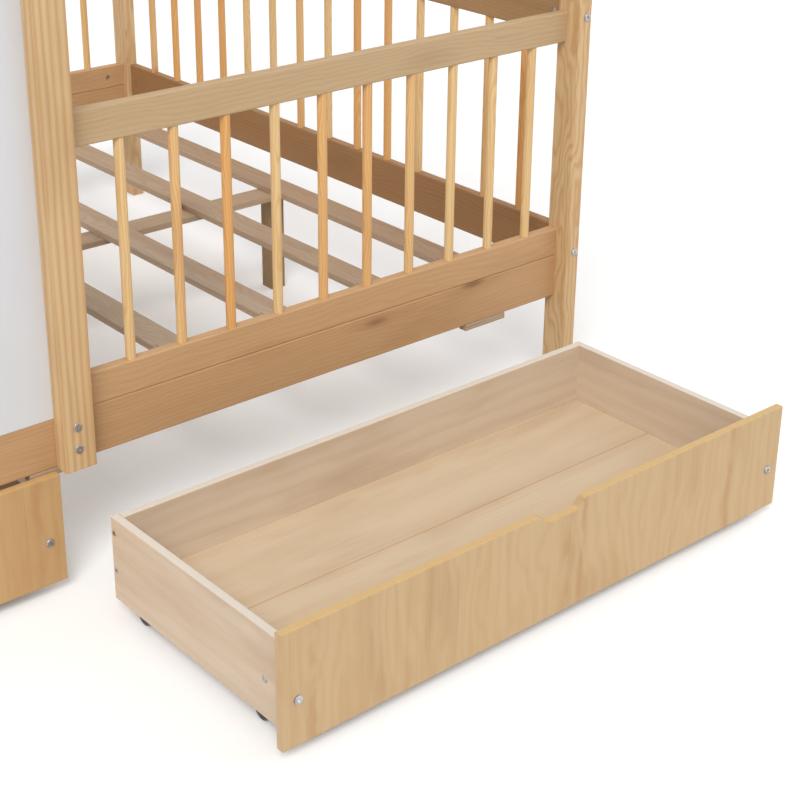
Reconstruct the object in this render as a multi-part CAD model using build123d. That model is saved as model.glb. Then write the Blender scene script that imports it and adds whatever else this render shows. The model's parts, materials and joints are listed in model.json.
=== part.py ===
from build123d import *
import os
from math import atan2, cos, sin, tan

# House bed for a full-size mattress: a slatted bed with a spindle fence, two rolling drawers,
# a plain writing board in the front and a gable roof frame. Millimetres.
# Origin: on the floor, under the middle of the lying area. +X runs to the right along the bed,
# +Y to the back, +Z up. The drawers pull out towards -Y.

# Lying area between the boards
INSIDE_LENGTH = 1970.0
INSIDE_WIDTH = 1386.0

# Timber sections
POST_WIDE = 49.0
POST_THIN = 28.0
RAIL_THICK = 18.0
LEDGER_DEEP = 28.0
LEDGER_HIGH = 24.0
EDGE_ROUND = 2.5
FINE_ROUND = 1.2

# Heights above the floor
SIDE_RAIL_BOTTOM = 193.0
SIDE_RAIL_HIGH = 76.0
NARROW_BOARD_HIGH = 50.0
FENCE_CLEAR = 328.0
END_FENCE_CLEAR = 332.0
END_BOARD_HIGH = 80.0
EAVES_HEIGHT = 1420.0
RIDGE_HEIGHT = 1990.0

# Posts in the front that stand on the side rail
MID_POST_RIGHT_X = 21.5
WRITING_BOARD_LENGTH = 557.0
WRITING_BOARD_THICK = 15.0
WRITING_BOARD_HIGH = 880.0
BACK_POST_FORWARD = 15.0

# Fence spindles
SPINDLE_DIA = 15.0
SOCKET_DEEP = 10.0
SOCKET_CLEAR = 0.15
FRONT_SPINDLE_FIRST = 85.5
FRONT_SPINDLE_LAST = 70.5
FRONT_SPINDLES = 10
BACK_SPINDLES = 21
END_SPINDLES = 14

# Slats, centre beam and legs
SLAT_WIDE = 54.0
SLAT_THICK = 12.0
SLAT_END_GAP = 3.0
SLAT_FIRST = 105.0
SLATS_PER_HALF = 5
OUTER_SLAT_STEP = 186.0
BEAM_WIDE = 54.0
BEAM_THICK = 12.0
BEAM_MIDDLE_Y = -4.0
BEAM_END_GAP = 54.0
LEG_X = 33.0
LEG_Y = 34.0
LEG_MIDDLE_Y = 15.0
LEG_END_GAP = 6.0
LEDGER_END_GAP = 5.0

# Blocks under the front rail that stop the drawers
STOP_LONG = 90.0
STOP_DROP = 11.0
STOP_THICK = 16.0
STOP_END_GAP = 119.0

# Drawers
FRONT_HIGH = 169.5
FRONT_THICK = 13.0
FRONT_BOTTOM = 19.0
FRONT_ROUND = 1.5
DRAWER_GAP = 2.0
DRAWER_GAP_X = -5.5
DRAWER_END_CLEAR = 29.0
CLOSED_GAP = 0.5
PULLED_OUT = 511.0
BOX_INSET = 17.0
BOX_DEEP = 398.0
BOX_HIGH = 130.5
BOX_BOTTOM = 28.5
BOX_WALL = 13.0
FLOOR_TOP = 57.5
FLOOR_THICK = 5.0
GROOVE_DEEP = 6.0
GROOVE_CLEAR = 0.2
GRIP_LONG = 100.0
GRIP_SHOULDER = 28.0
GRIP_DEEP = 16.0

# Casters
WHEEL_DIA = 30.0
WHEEL_RIM = 1.5
AXLE_DIA = 4.0
AXLE_CLEAR = 0.08
FORK_SHEET = 1.5
FORK_SIDE_CLEAR = 0.5
FORK_WIDE = 16.0
FORK_TOP_CLEAR = 2.5
CASTER_PLATE_LONG = 38.0
CASTER_INSET_X = 22.0
CASTER_INSET_BACK = 45.0
CASTER_INSET_FRONT = 78.0
BATTEN_WIDE = 40.0
BATTEN_END_GAP = 4.0

# Fasteners
BOLT_DIA = 6.0
BOLT_HEAD_DIA = 13.0
BOLT_HEAD_HIGH = 2.2
BOLT_KEY = 2.6
BOLT_KEY_DEEP = 1.4
HOLE_CLEAR = 0.3
BOLT_REACH = 48.0
END_BOLT_REACH = 25.0
END_BOLT_IN = 11.0
MID_BOLT_ASIDE = 3.0
MID_BOLT_LEVELS = (226.0, 260.0)
DRAWER_BOLT_REACH = 51.0
DRAWER_BOLT_LEVEL = 87.0
BACK_SCREW_LEVELS = (76.0, 135.0)
BARREL_DIA = 10.0
BARREL_LONG = 14.0
BARREL_BACK = 1.0
SCREW_DIA = 4.0
SCREW_HEAD_DIA = 8.0
SCREW_HEAD_HIGH = 1.6
SCREW_KEY = 1.6
SCREW_KEY_DEEP = 1.0
SCREW_CLEAR = 0.1
DOWEL_DIA = 8.0
DOWEL_HALF = 15.0
LEG_SCREW_LONG = 45.0

# Places worked out from the sizes above
POST_IN_X = INSIDE_LENGTH / 2
POST_OUT_X = POST_IN_X + POST_THIN
POST_MID_X = POST_IN_X + POST_THIN / 2
END_BOARD_IN_X = POST_OUT_X - RAIL_THICK
FRONT_IN_Y = -INSIDE_WIDTH / 2
FRONT_FACE_Y = FRONT_IN_Y - RAIL_THICK
POST_FACE_Y = FRONT_FACE_Y - POST_THIN
BACK_IN_Y = INSIDE_WIDTH / 2
BACK_FACE_Y = BACK_IN_Y + RAIL_THICK
FRONT_POST_Y = (POST_FACE_Y, POST_FACE_Y + POST_WIDE)
BACK_POST_Y = (BACK_IN_Y - BACK_POST_FORWARD, BACK_IN_Y - BACK_POST_FORWARD + POST_WIDE)
FRONT_BOARD_Y = (FRONT_FACE_Y, FRONT_IN_Y)
BACK_BOARD_Y = (BACK_IN_Y, BACK_FACE_Y)
RAIL_MID = RAIL_THICK / 2

SIDE_RAIL_TOP = SIDE_RAIL_BOTTOM + SIDE_RAIL_HIGH
FENCE_FOOT_TOP = SIDE_RAIL_TOP + NARROW_BOARD_HIGH
FENCE_TOP_BOTTOM = FENCE_FOOT_TOP + FENCE_CLEAR
FENCE_TOP = FENCE_TOP_BOTTOM + NARROW_BOARD_HIGH
END_BOARD_Z = (FENCE_FOOT_TOP - END_BOARD_HIGH, FENCE_FOOT_TOP)
END_TOP_BOTTOM = FENCE_FOOT_TOP + END_FENCE_CLEAR
END_TOP_Z = (END_TOP_BOTTOM, END_TOP_BOTTOM + END_BOARD_HIGH)
EAVES_Z = (EAVES_HEIGHT - NARROW_BOARD_HIGH, EAVES_HEIGHT)
WRITING_BOARD_Z = (SIDE_RAIL_TOP, SIDE_RAIL_TOP + WRITING_BOARD_HIGH)
BOARD_RAIL_Z = (WRITING_BOARD_Z[1], WRITING_BOARD_Z[1] + NARROW_BOARD_HIGH)
MID_POST_LEFT_X = MID_POST_RIGHT_X - WRITING_BOARD_LENGTH
SLAT_UNDER = SIDE_RAIL_BOTTOM + LEDGER_HIGH
SLAT_TOP = SLAT_UNDER + SLAT_THICK
BEAM_UNDER = SLAT_UNDER - BEAM_THICK
BEAM_HALF_LENGTH = POST_IN_X - BEAM_END_GAP

RIDGE_Y = (FRONT_POST_Y[0] + BACK_POST_Y[1]) / 2
RAFTER_RUN = RIDGE_Y - FRONT_POST_Y[0]
RAFTER_RISE = RIDGE_HEIGHT - EAVES_HEIGHT
ROOF_ANGLE = atan2(RAFTER_RISE, RAFTER_RUN)
RAFTER_FOOT = POST_WIDE / sin(ROOF_ANGLE)
RAFTER_HEAD = POST_WIDE / cos(ROOF_ANGLE)
RIDGE_BEAM_TOP = RIDGE_HEIGHT - (POST_THIN / 2) * tan(ROOF_ANGLE)
RIDGE_BEAM_Z = (RIDGE_BEAM_TOP - NARROW_BOARD_HIGH, RIDGE_BEAM_TOP)

FRONT_LONG = (INSIDE_LENGTH - DRAWER_GAP) / 2 - DRAWER_END_CLEAR
BOX_TOP = BOX_BOTTOM + BOX_HIGH
FLOOR_UNDER = FLOOR_TOP - FLOOR_THICK
WHEEL_R = WHEEL_DIA / 2
FORK_TOP = WHEEL_DIA + FORK_TOP_CLEAR
CLOSED_BACK_Y = FRONT_FACE_Y - CLOSED_GAP
DRAWER_RIGHT_X = DRAWER_GAP_X + DRAWER_GAP / 2
DRAWER_LEFT_X = DRAWER_GAP_X - DRAWER_GAP / 2 - FRONT_LONG

SIDES = {"right": 1, "left": -1}


def block(x, y, z):
    """A plain block between two values on each axis."""
    size = (x[1] - x[0], y[1] - y[0], z[1] - z[0])
    middle = ((x[0] + x[1]) / 2, (y[0] + y[1]) / 2, (z[0] + z[1]) / 2)
    return Pos(*middle) * Box(*size)


def timber(x, y, z, rounding=EDGE_ROUND):
    """A planed board whose four long edges are rounded."""
    spans = {Axis.X: x[1] - x[0], Axis.Y: y[1] - y[0], Axis.Z: z[1] - z[0]}
    along = max(spans, key=spans.get)
    piece = block(x, y, z)
    return fillet(piece.edges().filter_by(along), rounding)


def mirrored(span, side):
    """A span of X on the right of the bed, or its mirror on the left."""
    return tuple(sorted((side * span[0], side * span[1])))


def rod(start, direction, radius, length):
    """A cylinder from a point along a direction."""
    place = Plane(origin=start, z_dir=direction)
    return place * Cylinder(radius, length, align=(Align.CENTER, Align.CENTER, Align.MIN))


def with_boxes(cutters):
    """Each cutter with its bounding box, which is found once."""
    return [(cutter, cutter.bounding_box()) for cutter in cutters]


def drilled(piece, cutters):
    """The piece with every hole cut that reaches it."""
    box = piece.bounding_box()
    near = [cutter for cutter, reach in cutters if boxes_meet(box, reach)]
    return piece - near if near else piece


def boxes_meet(a, b):
    """Whether two bounding boxes share some space."""
    return (
        a.min.X < b.max.X and b.min.X < a.max.X
        and a.min.Y < b.max.Y and b.min.Y < a.max.Y
        and a.min.Z < b.max.Z and b.min.Z < a.max.Z
    )


# Fasteners. Each one is a solid and the holes that it needs in the wood round it.

def bolt(start, direction, length):
    """A furniture bolt whose low round head lies on the wood at the start point."""
    disc = Cylinder(BOLT_HEAD_DIA / 2, BOLT_HEAD_HIGH, align=(Align.CENTER, Align.CENTER, Align.MAX))
    disc = fillet(disc.edges().group_by(Axis.Z)[0], BOLT_HEAD_HIGH * 0.4)
    shank = Cylinder(BOLT_DIA / 2, length, align=(Align.CENTER, Align.CENTER, Align.MIN))
    socket = Pos(0, 0, -BOLT_HEAD_HIGH) * extrude(RegularPolygon(BOLT_KEY, 6), BOLT_KEY_DEEP)
    return Plane(origin=start, z_dir=direction) * (disc + shank - socket)


def bolt_hole(start, direction, length):
    """The hole for a bolt's shank, with room past its end."""
    return rod(start, direction, BOLT_DIA / 2 + HOLE_CLEAR, length + 1)


def barrel(face_point, direction, bolt_direction, bolt_mid):
    """A barrel nut below a board's face, with its cross hole for the bolt."""
    start = face_point + direction * BARREL_BACK
    nut = rod(start, direction, BARREL_DIA / 2, BARREL_LONG)
    cross = rod(bolt_mid - bolt_direction * BARREL_DIA, bolt_direction,
                BOLT_DIA / 2 + SCREW_CLEAR, 2 * BARREL_DIA)
    return nut - cross


def barrel_hole(face_point, direction):
    """The blind hole that a barrel nut sits in."""
    return rod(face_point, direction, BARREL_DIA / 2 + HOLE_CLEAR, BARREL_BACK + BARREL_LONG + 0.5)


def screw(start, direction, length):
    """A wood screw whose flat head is let in flush with the wood at the start point."""
    disc = Cylinder(SCREW_HEAD_DIA / 2, SCREW_HEAD_HIGH,
                    align=(Align.CENTER, Align.CENTER, Align.MIN))
    shank = Cylinder(SCREW_DIA / 2, length, align=(Align.CENTER, Align.CENTER, Align.MIN))
    socket = extrude(RegularPolygon(SCREW_KEY, 6), SCREW_KEY_DEEP)
    return Plane(origin=start, z_dir=direction) * (disc + shank - socket)


def screw_hole(start, direction, length):
    """The pilot hole of a wood screw, with the recess for its head."""
    pilot = rod(start, direction, SCREW_DIA / 2 + SCREW_CLEAR, length + 0.5)
    recess = rod(start - direction, direction, SCREW_HEAD_DIA / 2 + SCREW_CLEAR,
                 1 + SCREW_HEAD_HIGH)
    return pilot + recess


def frame_bolts():
    """Bolts, barrel nuts and holes that hold the frame together."""
    bolts, nuts, holes = [], [], []

    def add(start, direction, length, nut_face=None, nut_direction=None):
        bolts.append(bolt(start, direction, length))
        holes.append(bolt_hole(start, direction, length))
        if nut_face is not None:
            middle = start + direction * (length - BARREL_DIA / 2)
            nuts.append(barrel(nut_face, nut_direction, direction, middle))
            holes.append(barrel_hole(nut_face, nut_direction))

    ends = (
        (POST_FACE_Y, 1, FRONT_POST_Y[1]),
        (BACK_POST_Y[1], -1, BACK_POST_Y[0]),
    )
    boards_across = (
        (sum(END_BOARD_Z) / 2, END_BOLT_IN, END_BOARD_IN_X),
        (sum(END_TOP_Z) / 2, END_BOLT_IN, END_BOARD_IN_X),
        (sum(EAVES_Z) / 2, POST_THIN / 2, POST_IN_X),
    )
    for side in SIDES.values():
        for face_y, inward, butt_y in ends:
            for level, bolt_in, board_in_x in boards_across:
                start = Vector(side * (POST_OUT_X - bolt_in), face_y, level)
                nut_y = butt_y + inward * (END_BOLT_REACH - BARREL_DIA / 2)
                add(start, Vector(0, inward, 0), POST_WIDE + END_BOLT_REACH,
                    Vector(side * board_in_x, nut_y, level), Vector(side, 0, 0))

    fence_levels = (
        SIDE_RAIL_TOP + NARROW_BOARD_HIGH / 2,
        FENCE_TOP_BOTTOM + NARROW_BOARD_HIGH / 2,
    )
    all_levels = (
        SIDE_RAIL_BOTTOM + SIDE_RAIL_HIGH / 2,
        *fence_levels,
        sum(EAVES_Z) / 2 - BARREL_DIA,
    )
    nut_in_x = POST_IN_X - BOLT_REACH + BARREL_DIA / 2
    for side in SIDES.values():
        for inner_y, out in ((FRONT_IN_Y, -1), (BACK_IN_Y, 1)):
            for level in all_levels:
                in_entry = side < 0 and out < 0 and level in fence_levels
                if in_entry:
                    continue
                start = Vector(side * POST_OUT_X, inner_y + out * RAIL_MID, level)
                add(start, Vector(-side, 0, 0), POST_THIN + BOLT_REACH,
                    Vector(side * nut_in_x, inner_y, level), Vector(0, out, 0))
        for out in (-1, 1):
            level = RIDGE_BEAM_Z[0] + NARROW_BOARD_HIGH / 2 + out * BARREL_DIA
            start = Vector(side * POST_OUT_X, RIDGE_Y + out * POST_THIN / 4, level)
            nut_face = Vector(side * nut_in_x, RIDGE_Y + out * POST_THIN / 2, level)
            add(start, Vector(-side, 0, 0), POST_THIN + BOLT_REACH, nut_face, Vector(0, -out, 0))

    eaves_mid = sum(EAVES_Z) / 2
    for post_x in (MID_POST_RIGHT_X, MID_POST_LEFT_X):
        for level in (*MID_BOLT_LEVELS, eaves_mid - BOLT_HEAD_DIA, eaves_mid + BOLT_HEAD_DIA):
            start = Vector(post_x - MID_BOLT_ASIDE, POST_FACE_Y, level)
            add(start, Vector(0, 1, 0), POST_THIN + RAIL_THICK - 2)
    return bolts, nuts, holes


def wood_screws():
    """Screws from inside into the mid posts, down through the slats and into the ledgers."""
    screws, holes = [], []

    def add(start, direction, length):
        screws.append(screw(start, direction, length))
        holes.append(screw_hole(start, direction, length))

    inner = {
        MID_POST_RIGHT_X + POST_WIDE / 4: (
            SIDE_RAIL_TOP + NARROW_BOARD_HIGH / 2,
            FENCE_TOP_BOTTOM + NARROW_BOARD_HIGH / 2,
        ),
        MID_POST_RIGHT_X - POST_WIDE / 4: (sum(BOARD_RAIL_Z) / 2,),
        MID_POST_LEFT_X + POST_WIDE / 4: (sum(BOARD_RAIL_Z) / 2,),
    }
    for x, levels in inner.items():
        for level in levels:
            add(Vector(x, FRONT_IN_Y, level), Vector(0, -1, 0), RAIL_THICK + POST_THIN / 2)
    board_levels = (WRITING_BOARD_Z[0] + 120, WRITING_BOARD_Z[1] - 120)
    board_back = FRONT_FACE_Y + WRITING_BOARD_THICK
    for x in (MID_POST_RIGHT_X - POST_WIDE / 4, MID_POST_LEFT_X + POST_WIDE / 4):
        for level in board_levels:
            add(Vector(x, board_back, level), Vector(0, -1, 0), WRITING_BOARD_THICK + POST_THIN / 2)

    over_ledger = BACK_IN_Y - LEDGER_DEEP / 2 - SLAT_END_GAP
    into = {
        -over_ledger: LEDGER_HIGH * 0.6,
        BEAM_MIDDLE_Y: BEAM_THICK * 0.8,
        over_ledger: LEDGER_HIGH * 0.6,
    }
    for x in slat_centres():
        for y, deep in into.items():
            add(Vector(x, y, SLAT_TOP), Vector(0, 0, -1), SLAT_THICK + deep)
    leg_front = LEG_MIDDLE_Y - LEG_Y / 2
    beam_back = BEAM_MIDDLE_Y + BEAM_WIDE / 2
    for x in leg_centres():
        start = Vector(x, (leg_front + beam_back) / 2, SLAT_UNDER)
        add(start, Vector(0, 0, -1), LEG_SCREW_LONG)
    for x in stop_centres():
        for offset in (-STOP_LONG / 3, STOP_LONG / 3):
            start = Vector(x + offset, FRONT_FACE_Y + STOP_THICK / 2, SIDE_RAIL_BOTTOM - STOP_DROP)
            add(start, Vector(0, 0, 1), STOP_DROP + STOP_THICK)
    ledger_mid = SIDE_RAIL_BOTTOM + LEDGER_HIGH / 2
    centres = slat_centres()
    between = [(a + b) / 2 for a, b in zip(centres, centres[1:])]
    for x in between[::2]:
        for out in (-1, 1):
            start = Vector(x, out * (BACK_IN_Y - LEDGER_DEEP), ledger_mid)
            add(start, Vector(0, out, 0), LEDGER_DEEP + RAIL_THICK * 0.7)
    return screws, holes


def wood_dowels():
    """Dowels between the corner posts and the rafters."""
    places = []
    for side in SIDES.values():
        for face_y, inward in ((FRONT_POST_Y[0], 1), (BACK_POST_Y[1], -1)):
            y = face_y + inward * (POST_WIDE - DOWEL_DIA)
            places.append((side * POST_MID_X, y, EAVES_HEIGHT))
    dowels, holes = [], []
    for x, y, z in places:
        dowels.append(rod((x, y, z - DOWEL_HALF), (0, 0, 1), DOWEL_DIA / 2, 2 * DOWEL_HALF))
        deep = DOWEL_HALF + 0.5
        holes.append(rod((x, y, z - deep), (0, 0, 1), DOWEL_DIA / 2 + SCREW_CLEAR, 2 * deep))
    return dowels, holes


# The bed frame

def corner_post(side, y):
    """A corner post that stands on the floor and carries the roof."""
    return timber(mirrored((POST_IN_X, POST_OUT_X), side), y, (0, EAVES_HEIGHT))


def mid_post(middle_x):
    """A post bolted on the front of the side rail and the eaves beam."""
    x = (middle_x - POST_WIDE / 2, middle_x + POST_WIDE / 2)
    return timber(x, (POST_FACE_Y, FRONT_FACE_Y), (SIDE_RAIL_BOTTOM, EAVES_HEIGHT))


def long_board(y, z, left=-POST_IN_X, right=POST_IN_X):
    """A board along the bed between two posts."""
    return timber((left, right), y, z)


def end_board(side, z, inner=END_BOARD_IN_X):
    """A board across an end of the bed, between its corner posts."""
    return timber(mirrored((inner, POST_OUT_X), side), (FRONT_POST_Y[1], BACK_POST_Y[0]), z)


def front_spindle_places():
    """Points on the floor plan where the front fence's spindles stand."""
    start = MID_POST_RIGHT_X + POST_WIDE / 2 + FRONT_SPINDLE_FIRST
    pitch = (POST_IN_X - FRONT_SPINDLE_LAST - start) / (FRONT_SPINDLES - 1)
    y = FRONT_FACE_Y + RAIL_MID
    return [(start + i * pitch, y) for i in range(FRONT_SPINDLES)]


def back_spindle_places():
    """Points on the floor plan where the back fence's spindles stand."""
    pitch = INSIDE_LENGTH / (BACK_SPINDLES + 1)
    return [(-POST_IN_X + (i + 1) * pitch, BACK_IN_Y + RAIL_MID) for i in range(BACK_SPINDLES)]


def end_spindle_places(side):
    """Points on the floor plan where an end fence's spindles stand."""
    pitch = (BACK_POST_Y[0] - FRONT_POST_Y[1]) / (END_SPINDLES + 1)
    x = side * (POST_OUT_X - RAIL_MID)
    return [(x, FRONT_POST_Y[1] + (i + 1) * pitch) for i in range(END_SPINDLES)]


def spindles(places, clear_height):
    """Round spindles, each seated in a socket above and below."""
    long = clear_height + 2 * (SOCKET_DEEP - SOCKET_CLEAR)
    foot = FENCE_FOOT_TOP - SOCKET_DEEP + SOCKET_CLEAR
    return [rod((x, y, foot), (0, 0, 1), SPINDLE_DIA / 2, long) for x, y in places]


def sockets(places, clear_height):
    """Blind holes for the ends of the spindles."""
    radius = SPINDLE_DIA / 2 + SOCKET_CLEAR
    starts = (FENCE_FOOT_TOP - SOCKET_DEEP, FENCE_FOOT_TOP + clear_height - SOCKET_DEEP)
    return [rod((x, y, start), (0, 0, 1), radius, 2 * SOCKET_DEEP)
            for x, y in places for start in starts]


def slat_centres():
    """Middles of the slats along the bed, the outer ones flush with the beam's ends."""
    last = BEAM_HALF_LENGTH - SLAT_WIDE / 2
    evenly = SLATS_PER_HALF - 1
    pitch = (last - OUTER_SLAT_STEP - SLAT_FIRST) / (evenly - 1)
    half = [SLAT_FIRST + i * pitch for i in range(evenly)] + [last]
    return sorted([-x for x in half] + half)


def slats():
    """The slats, lying across the ledgers and the centre beam."""
    reach = INSIDE_WIDTH / 2 - SLAT_END_GAP
    across = (-reach, reach)
    level = (SLAT_UNDER, SLAT_TOP)
    return [timber((x - SLAT_WIDE / 2, x + SLAT_WIDE / 2), across, level, FINE_ROUND)
            for x in slat_centres()]


def ledger(inner_y, inward):
    """The strip inside a side rail that the slats lie on."""
    y = tuple(sorted((inner_y, inner_y + inward * LEDGER_DEEP)))
    end = POST_IN_X - LEDGER_END_GAP
    return timber((-end, end), y, (SIDE_RAIL_BOTTOM, SLAT_UNDER), FINE_ROUND)


def centre_beam():
    """The flat strip under the middle of the slats."""
    y = (BEAM_MIDDLE_Y - BEAM_WIDE / 2, BEAM_MIDDLE_Y + BEAM_WIDE / 2)
    return timber((-BEAM_HALF_LENGTH, BEAM_HALF_LENGTH), y, (BEAM_UNDER, SLAT_UNDER), FINE_ROUND)


def leg_centres():
    """Middles of the centre legs along the bed."""
    outer = BEAM_HALF_LENGTH - LEG_END_GAP - LEG_X / 2
    return (-outer, 0.0, outer)


def centre_legs():
    """Three legs under the centre beam: one in the middle and one at each end."""
    y = (LEG_MIDDLE_Y - LEG_Y / 2, LEG_MIDDLE_Y + LEG_Y / 2)
    return [timber((x - LEG_X / 2, x + LEG_X / 2), y, (0, BEAM_UNDER), FINE_ROUND)
            for x in leg_centres()]


def stop_centres():
    """Middles of the drawer stops along the front rail."""
    outer = POST_IN_X - STOP_END_GAP - STOP_LONG / 2
    return (-outer, 0.0, outer)


def drawer_stops():
    """Blocks under the front rail that a closed drawer's front comes up against."""
    y = (FRONT_FACE_Y, FRONT_FACE_Y + STOP_THICK)
    z = (SIDE_RAIL_BOTTOM - STOP_DROP, SIDE_RAIL_BOTTOM)
    return [timber((x - STOP_LONG / 2, x + STOP_LONG / 2), y, z, FINE_ROUND)
            for x in stop_centres()]


def writing_board():
    """The plain board that stands on the side rail behind the two mid posts."""
    y = (FRONT_FACE_Y, FRONT_FACE_Y + WRITING_BOARD_THICK)
    x = (MID_POST_LEFT_X, MID_POST_RIGHT_X)
    return fillet(block(x, y, WRITING_BOARD_Z).edges().filter_by(Axis.Z), FINE_ROUND)


def rafter(side, face_y, towards):
    """A rafter from a corner post's top to the ridge, mitred at the ridge."""
    foot_z = EAVES_HEIGHT
    outline = Polyline(
        (face_y, foot_z),
        (RIDGE_Y, RIDGE_HEIGHT),
        (RIDGE_Y, RIDGE_HEIGHT - RAFTER_HEAD),
        (face_y + towards * RAFTER_FOOT, foot_z),
        close=True,
    )
    profile = make_face(Plane.YZ * outline)
    start = min(side * POST_IN_X, side * POST_OUT_X)
    return Pos(start, 0, 0) * extrude(profile, POST_THIN, dir=(1, 0, 0))


def ridge_beam():
    """The beam along the ridge, between the two gables."""
    half = POST_THIN / 2
    return timber((-POST_IN_X, POST_IN_X), (RIDGE_Y - half, RIDGE_Y + half), RIDGE_BEAM_Z)


# The drawers. A drawer is made with its front's left end at x and its front's back face at y.

def drawer_front(x, y):
    """The front panel with its cut-out grip in the middle of the top edge."""
    top = FRONT_BOTTOM + FRONT_HIGH
    panel = timber((x, x + FRONT_LONG), (y - FRONT_THICK, y), (FRONT_BOTTOM, top), FRONT_ROUND)
    return panel - grip(x + FRONT_LONG / 2, y, top)


def grip(middle_x, y, top):
    """The grip's cut-out: a flat bottom between two S-shaped shoulders."""
    outer, inner = GRIP_LONG / 2, GRIP_LONG / 2 - GRIP_SHOULDER
    halfway = (outer + inner) / 2
    drop = GRIP_DEEP
    outline = Wire([
        TangentArc((-outer, 0), (-halfway, -drop / 2), tangent=(1, 0)),
        TangentArc((-inner, -drop), (-halfway, -drop / 2), tangent=(-1, 0)),
        Line((-inner, -drop), (inner, -drop)),
        TangentArc((inner, -drop), (halfway, -drop / 2), tangent=(1, 0)),
        TangentArc((outer, 0), (halfway, -drop / 2), tangent=(-1, 0)),
        Line((outer, 0), (outer, drop)),
        Line((outer, drop), (-outer, drop)),
        Line((-outer, drop), (-outer, 0)),
    ])
    place = Plane(origin=(middle_x, y + 1, top), x_dir=(1, 0, 0), z_dir=(0, -1, 0))
    return extrude(place * make_face(outline), FRONT_THICK + 2)


def drawer_floor_space(x, y, clear):
    """The floor panel's block, grown by a clearance for its groove."""
    left = x + BOX_INSET + BOX_WALL
    right = x + FRONT_LONG - BOX_INSET - BOX_WALL
    back = y + BOX_DEEP - BOX_WALL
    return block(
        (left - GROOVE_DEEP - clear, right + GROOVE_DEEP + clear),
        (y - GROOVE_DEEP / 2 - clear, back + GROOVE_DEEP + clear),
        (FLOOR_UNDER - clear, FLOOR_TOP + clear),
    )


def drawer_sides(x, y):
    """The two side walls of the box."""
    level = (BOX_BOTTOM, BOX_TOP)
    starts = (x + BOX_INSET, x + FRONT_LONG - BOX_INSET - BOX_WALL)
    return [timber((s, s + BOX_WALL), (y, y + BOX_DEEP), level, FINE_ROUND) for s in starts]


def drawer_back(x, y):
    """The back wall, between the side walls."""
    across = (x + BOX_INSET + BOX_WALL, x + FRONT_LONG - BOX_INSET - BOX_WALL)
    return timber(across, (y + BOX_DEEP - BOX_WALL, y + BOX_DEEP), (BOX_BOTTOM, BOX_TOP), FINE_ROUND)


def caster_middles(x):
    """Places of the casters along X, left and right."""
    return (x + BOX_INSET + CASTER_INSET_X, x + FRONT_LONG - BOX_INSET - CASTER_INSET_X)


def caster_rows(y):
    """Places of the casters along Y, front and back."""
    return (y + CASTER_INSET_FRONT, y + BOX_DEEP - CASTER_INSET_BACK)


def caster_battens(x, y):
    """Two strips under the floor that the casters are screwed to."""
    left = x + BOX_INSET + BOX_WALL
    right = x + FRONT_LONG - BOX_INSET - BOX_WALL
    along = (y + BATTEN_END_GAP, y + BOX_DEEP - BOX_WALL - BATTEN_END_GAP)
    level = (FORK_TOP, FLOOR_UNDER)
    return [timber((left, left + BATTEN_WIDE), along, level, FINE_ROUND),
            timber((right - BATTEN_WIDE, right), along, level, FINE_ROUND)]


def caster_fork(x, y):
    """A fixed caster's sheet-steel fork with its axle."""
    half = FORK_WIDE / 2
    along = CASTER_PLATE_LONG / 2
    plate = block((x - half, x + half), (y - along, y + along), (FORK_TOP - FORK_SHEET, FORK_TOP))
    hub = Pos(y, WHEEL_R) * Circle(AXLE_DIA)
    shoulder = Pos(y, FORK_TOP - FORK_SHEET / 2) * Rectangle(WHEEL_DIA * 0.8, FORK_SHEET)
    outline = make_hull(hub.edges() + shoulder.edges())
    cheek = extrude(Plane.YZ * outline, FORK_SHEET, dir=(1, 0, 0))
    cheeks = [Pos(start, 0, 0) * cheek for start in (x - half, x + half - FORK_SHEET)]
    axle = rod((x - half - 0.5, y, WHEEL_R), (1, 0, 0), AXLE_DIA / 2, FORK_WIDE + 1)
    return plate + cheeks + axle


def caster_wheel(x, y):
    """A wheel with a rounded rim, bored for its axle."""
    wide = FORK_WIDE - 2 * FORK_SHEET - 2 * FORK_SIDE_CLEAR
    wheel = rod((x - wide / 2, y, WHEEL_R), (1, 0, 0), WHEEL_R, wide)
    wheel = fillet(wheel.edges().filter_by(GeomType.CIRCLE), WHEEL_RIM)
    bore = rod((x - wide, y, WHEEL_R), (1, 0, 0), AXLE_DIA / 2 + AXLE_CLEAR, 2 * wide)
    return wheel - bore


def drawer_fasteners(x, y):
    """Bolts through the front into the sides, with barrel nuts, and screws into the back."""
    solids, holes = [], []
    level = DRAWER_BOLT_LEVEL
    inner_faces = ((x + BOX_INSET + BOX_WALL, -1), (x + FRONT_LONG - BOX_INSET - BOX_WALL, 1))
    for inner_x, out in inner_faces:
        start = Vector(inner_x + out * BOX_WALL / 2, y - FRONT_THICK, level)
        length = FRONT_THICK + DRAWER_BOLT_REACH
        solids.append(bolt(start, Vector(0, 1, 0), length))
        holes.append(bolt_hole(start, Vector(0, 1, 0), length))
        nut_y = y + DRAWER_BOLT_REACH - BARREL_DIA / 2
        outside = Vector(inner_x + out * BOX_WALL, nut_y, level)
        inward = Vector(-out, 0, 0)
        through = BOX_WALL
        nut = rod(outside + inward * 0.5, inward, BARREL_DIA / 2, through - 1)
        cross = bolt_hole(start, Vector(0, 1, 0), length)
        solids.append(nut - cross)
        holes.append(rod(outside - inward, inward, BARREL_DIA / 2 + HOLE_CLEAR, through + 2))
        for screw_z in BACK_SCREW_LEVELS:
            point = Vector(inner_x + out * BOX_WALL, y + BOX_DEEP - BOX_WALL / 2, screw_z)
            solids.append(screw(point, inward, 2.5 * BOX_WALL))
            holes.append(screw_hole(point, inward, 2.5 * BOX_WALL))
    return solids, holes


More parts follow.
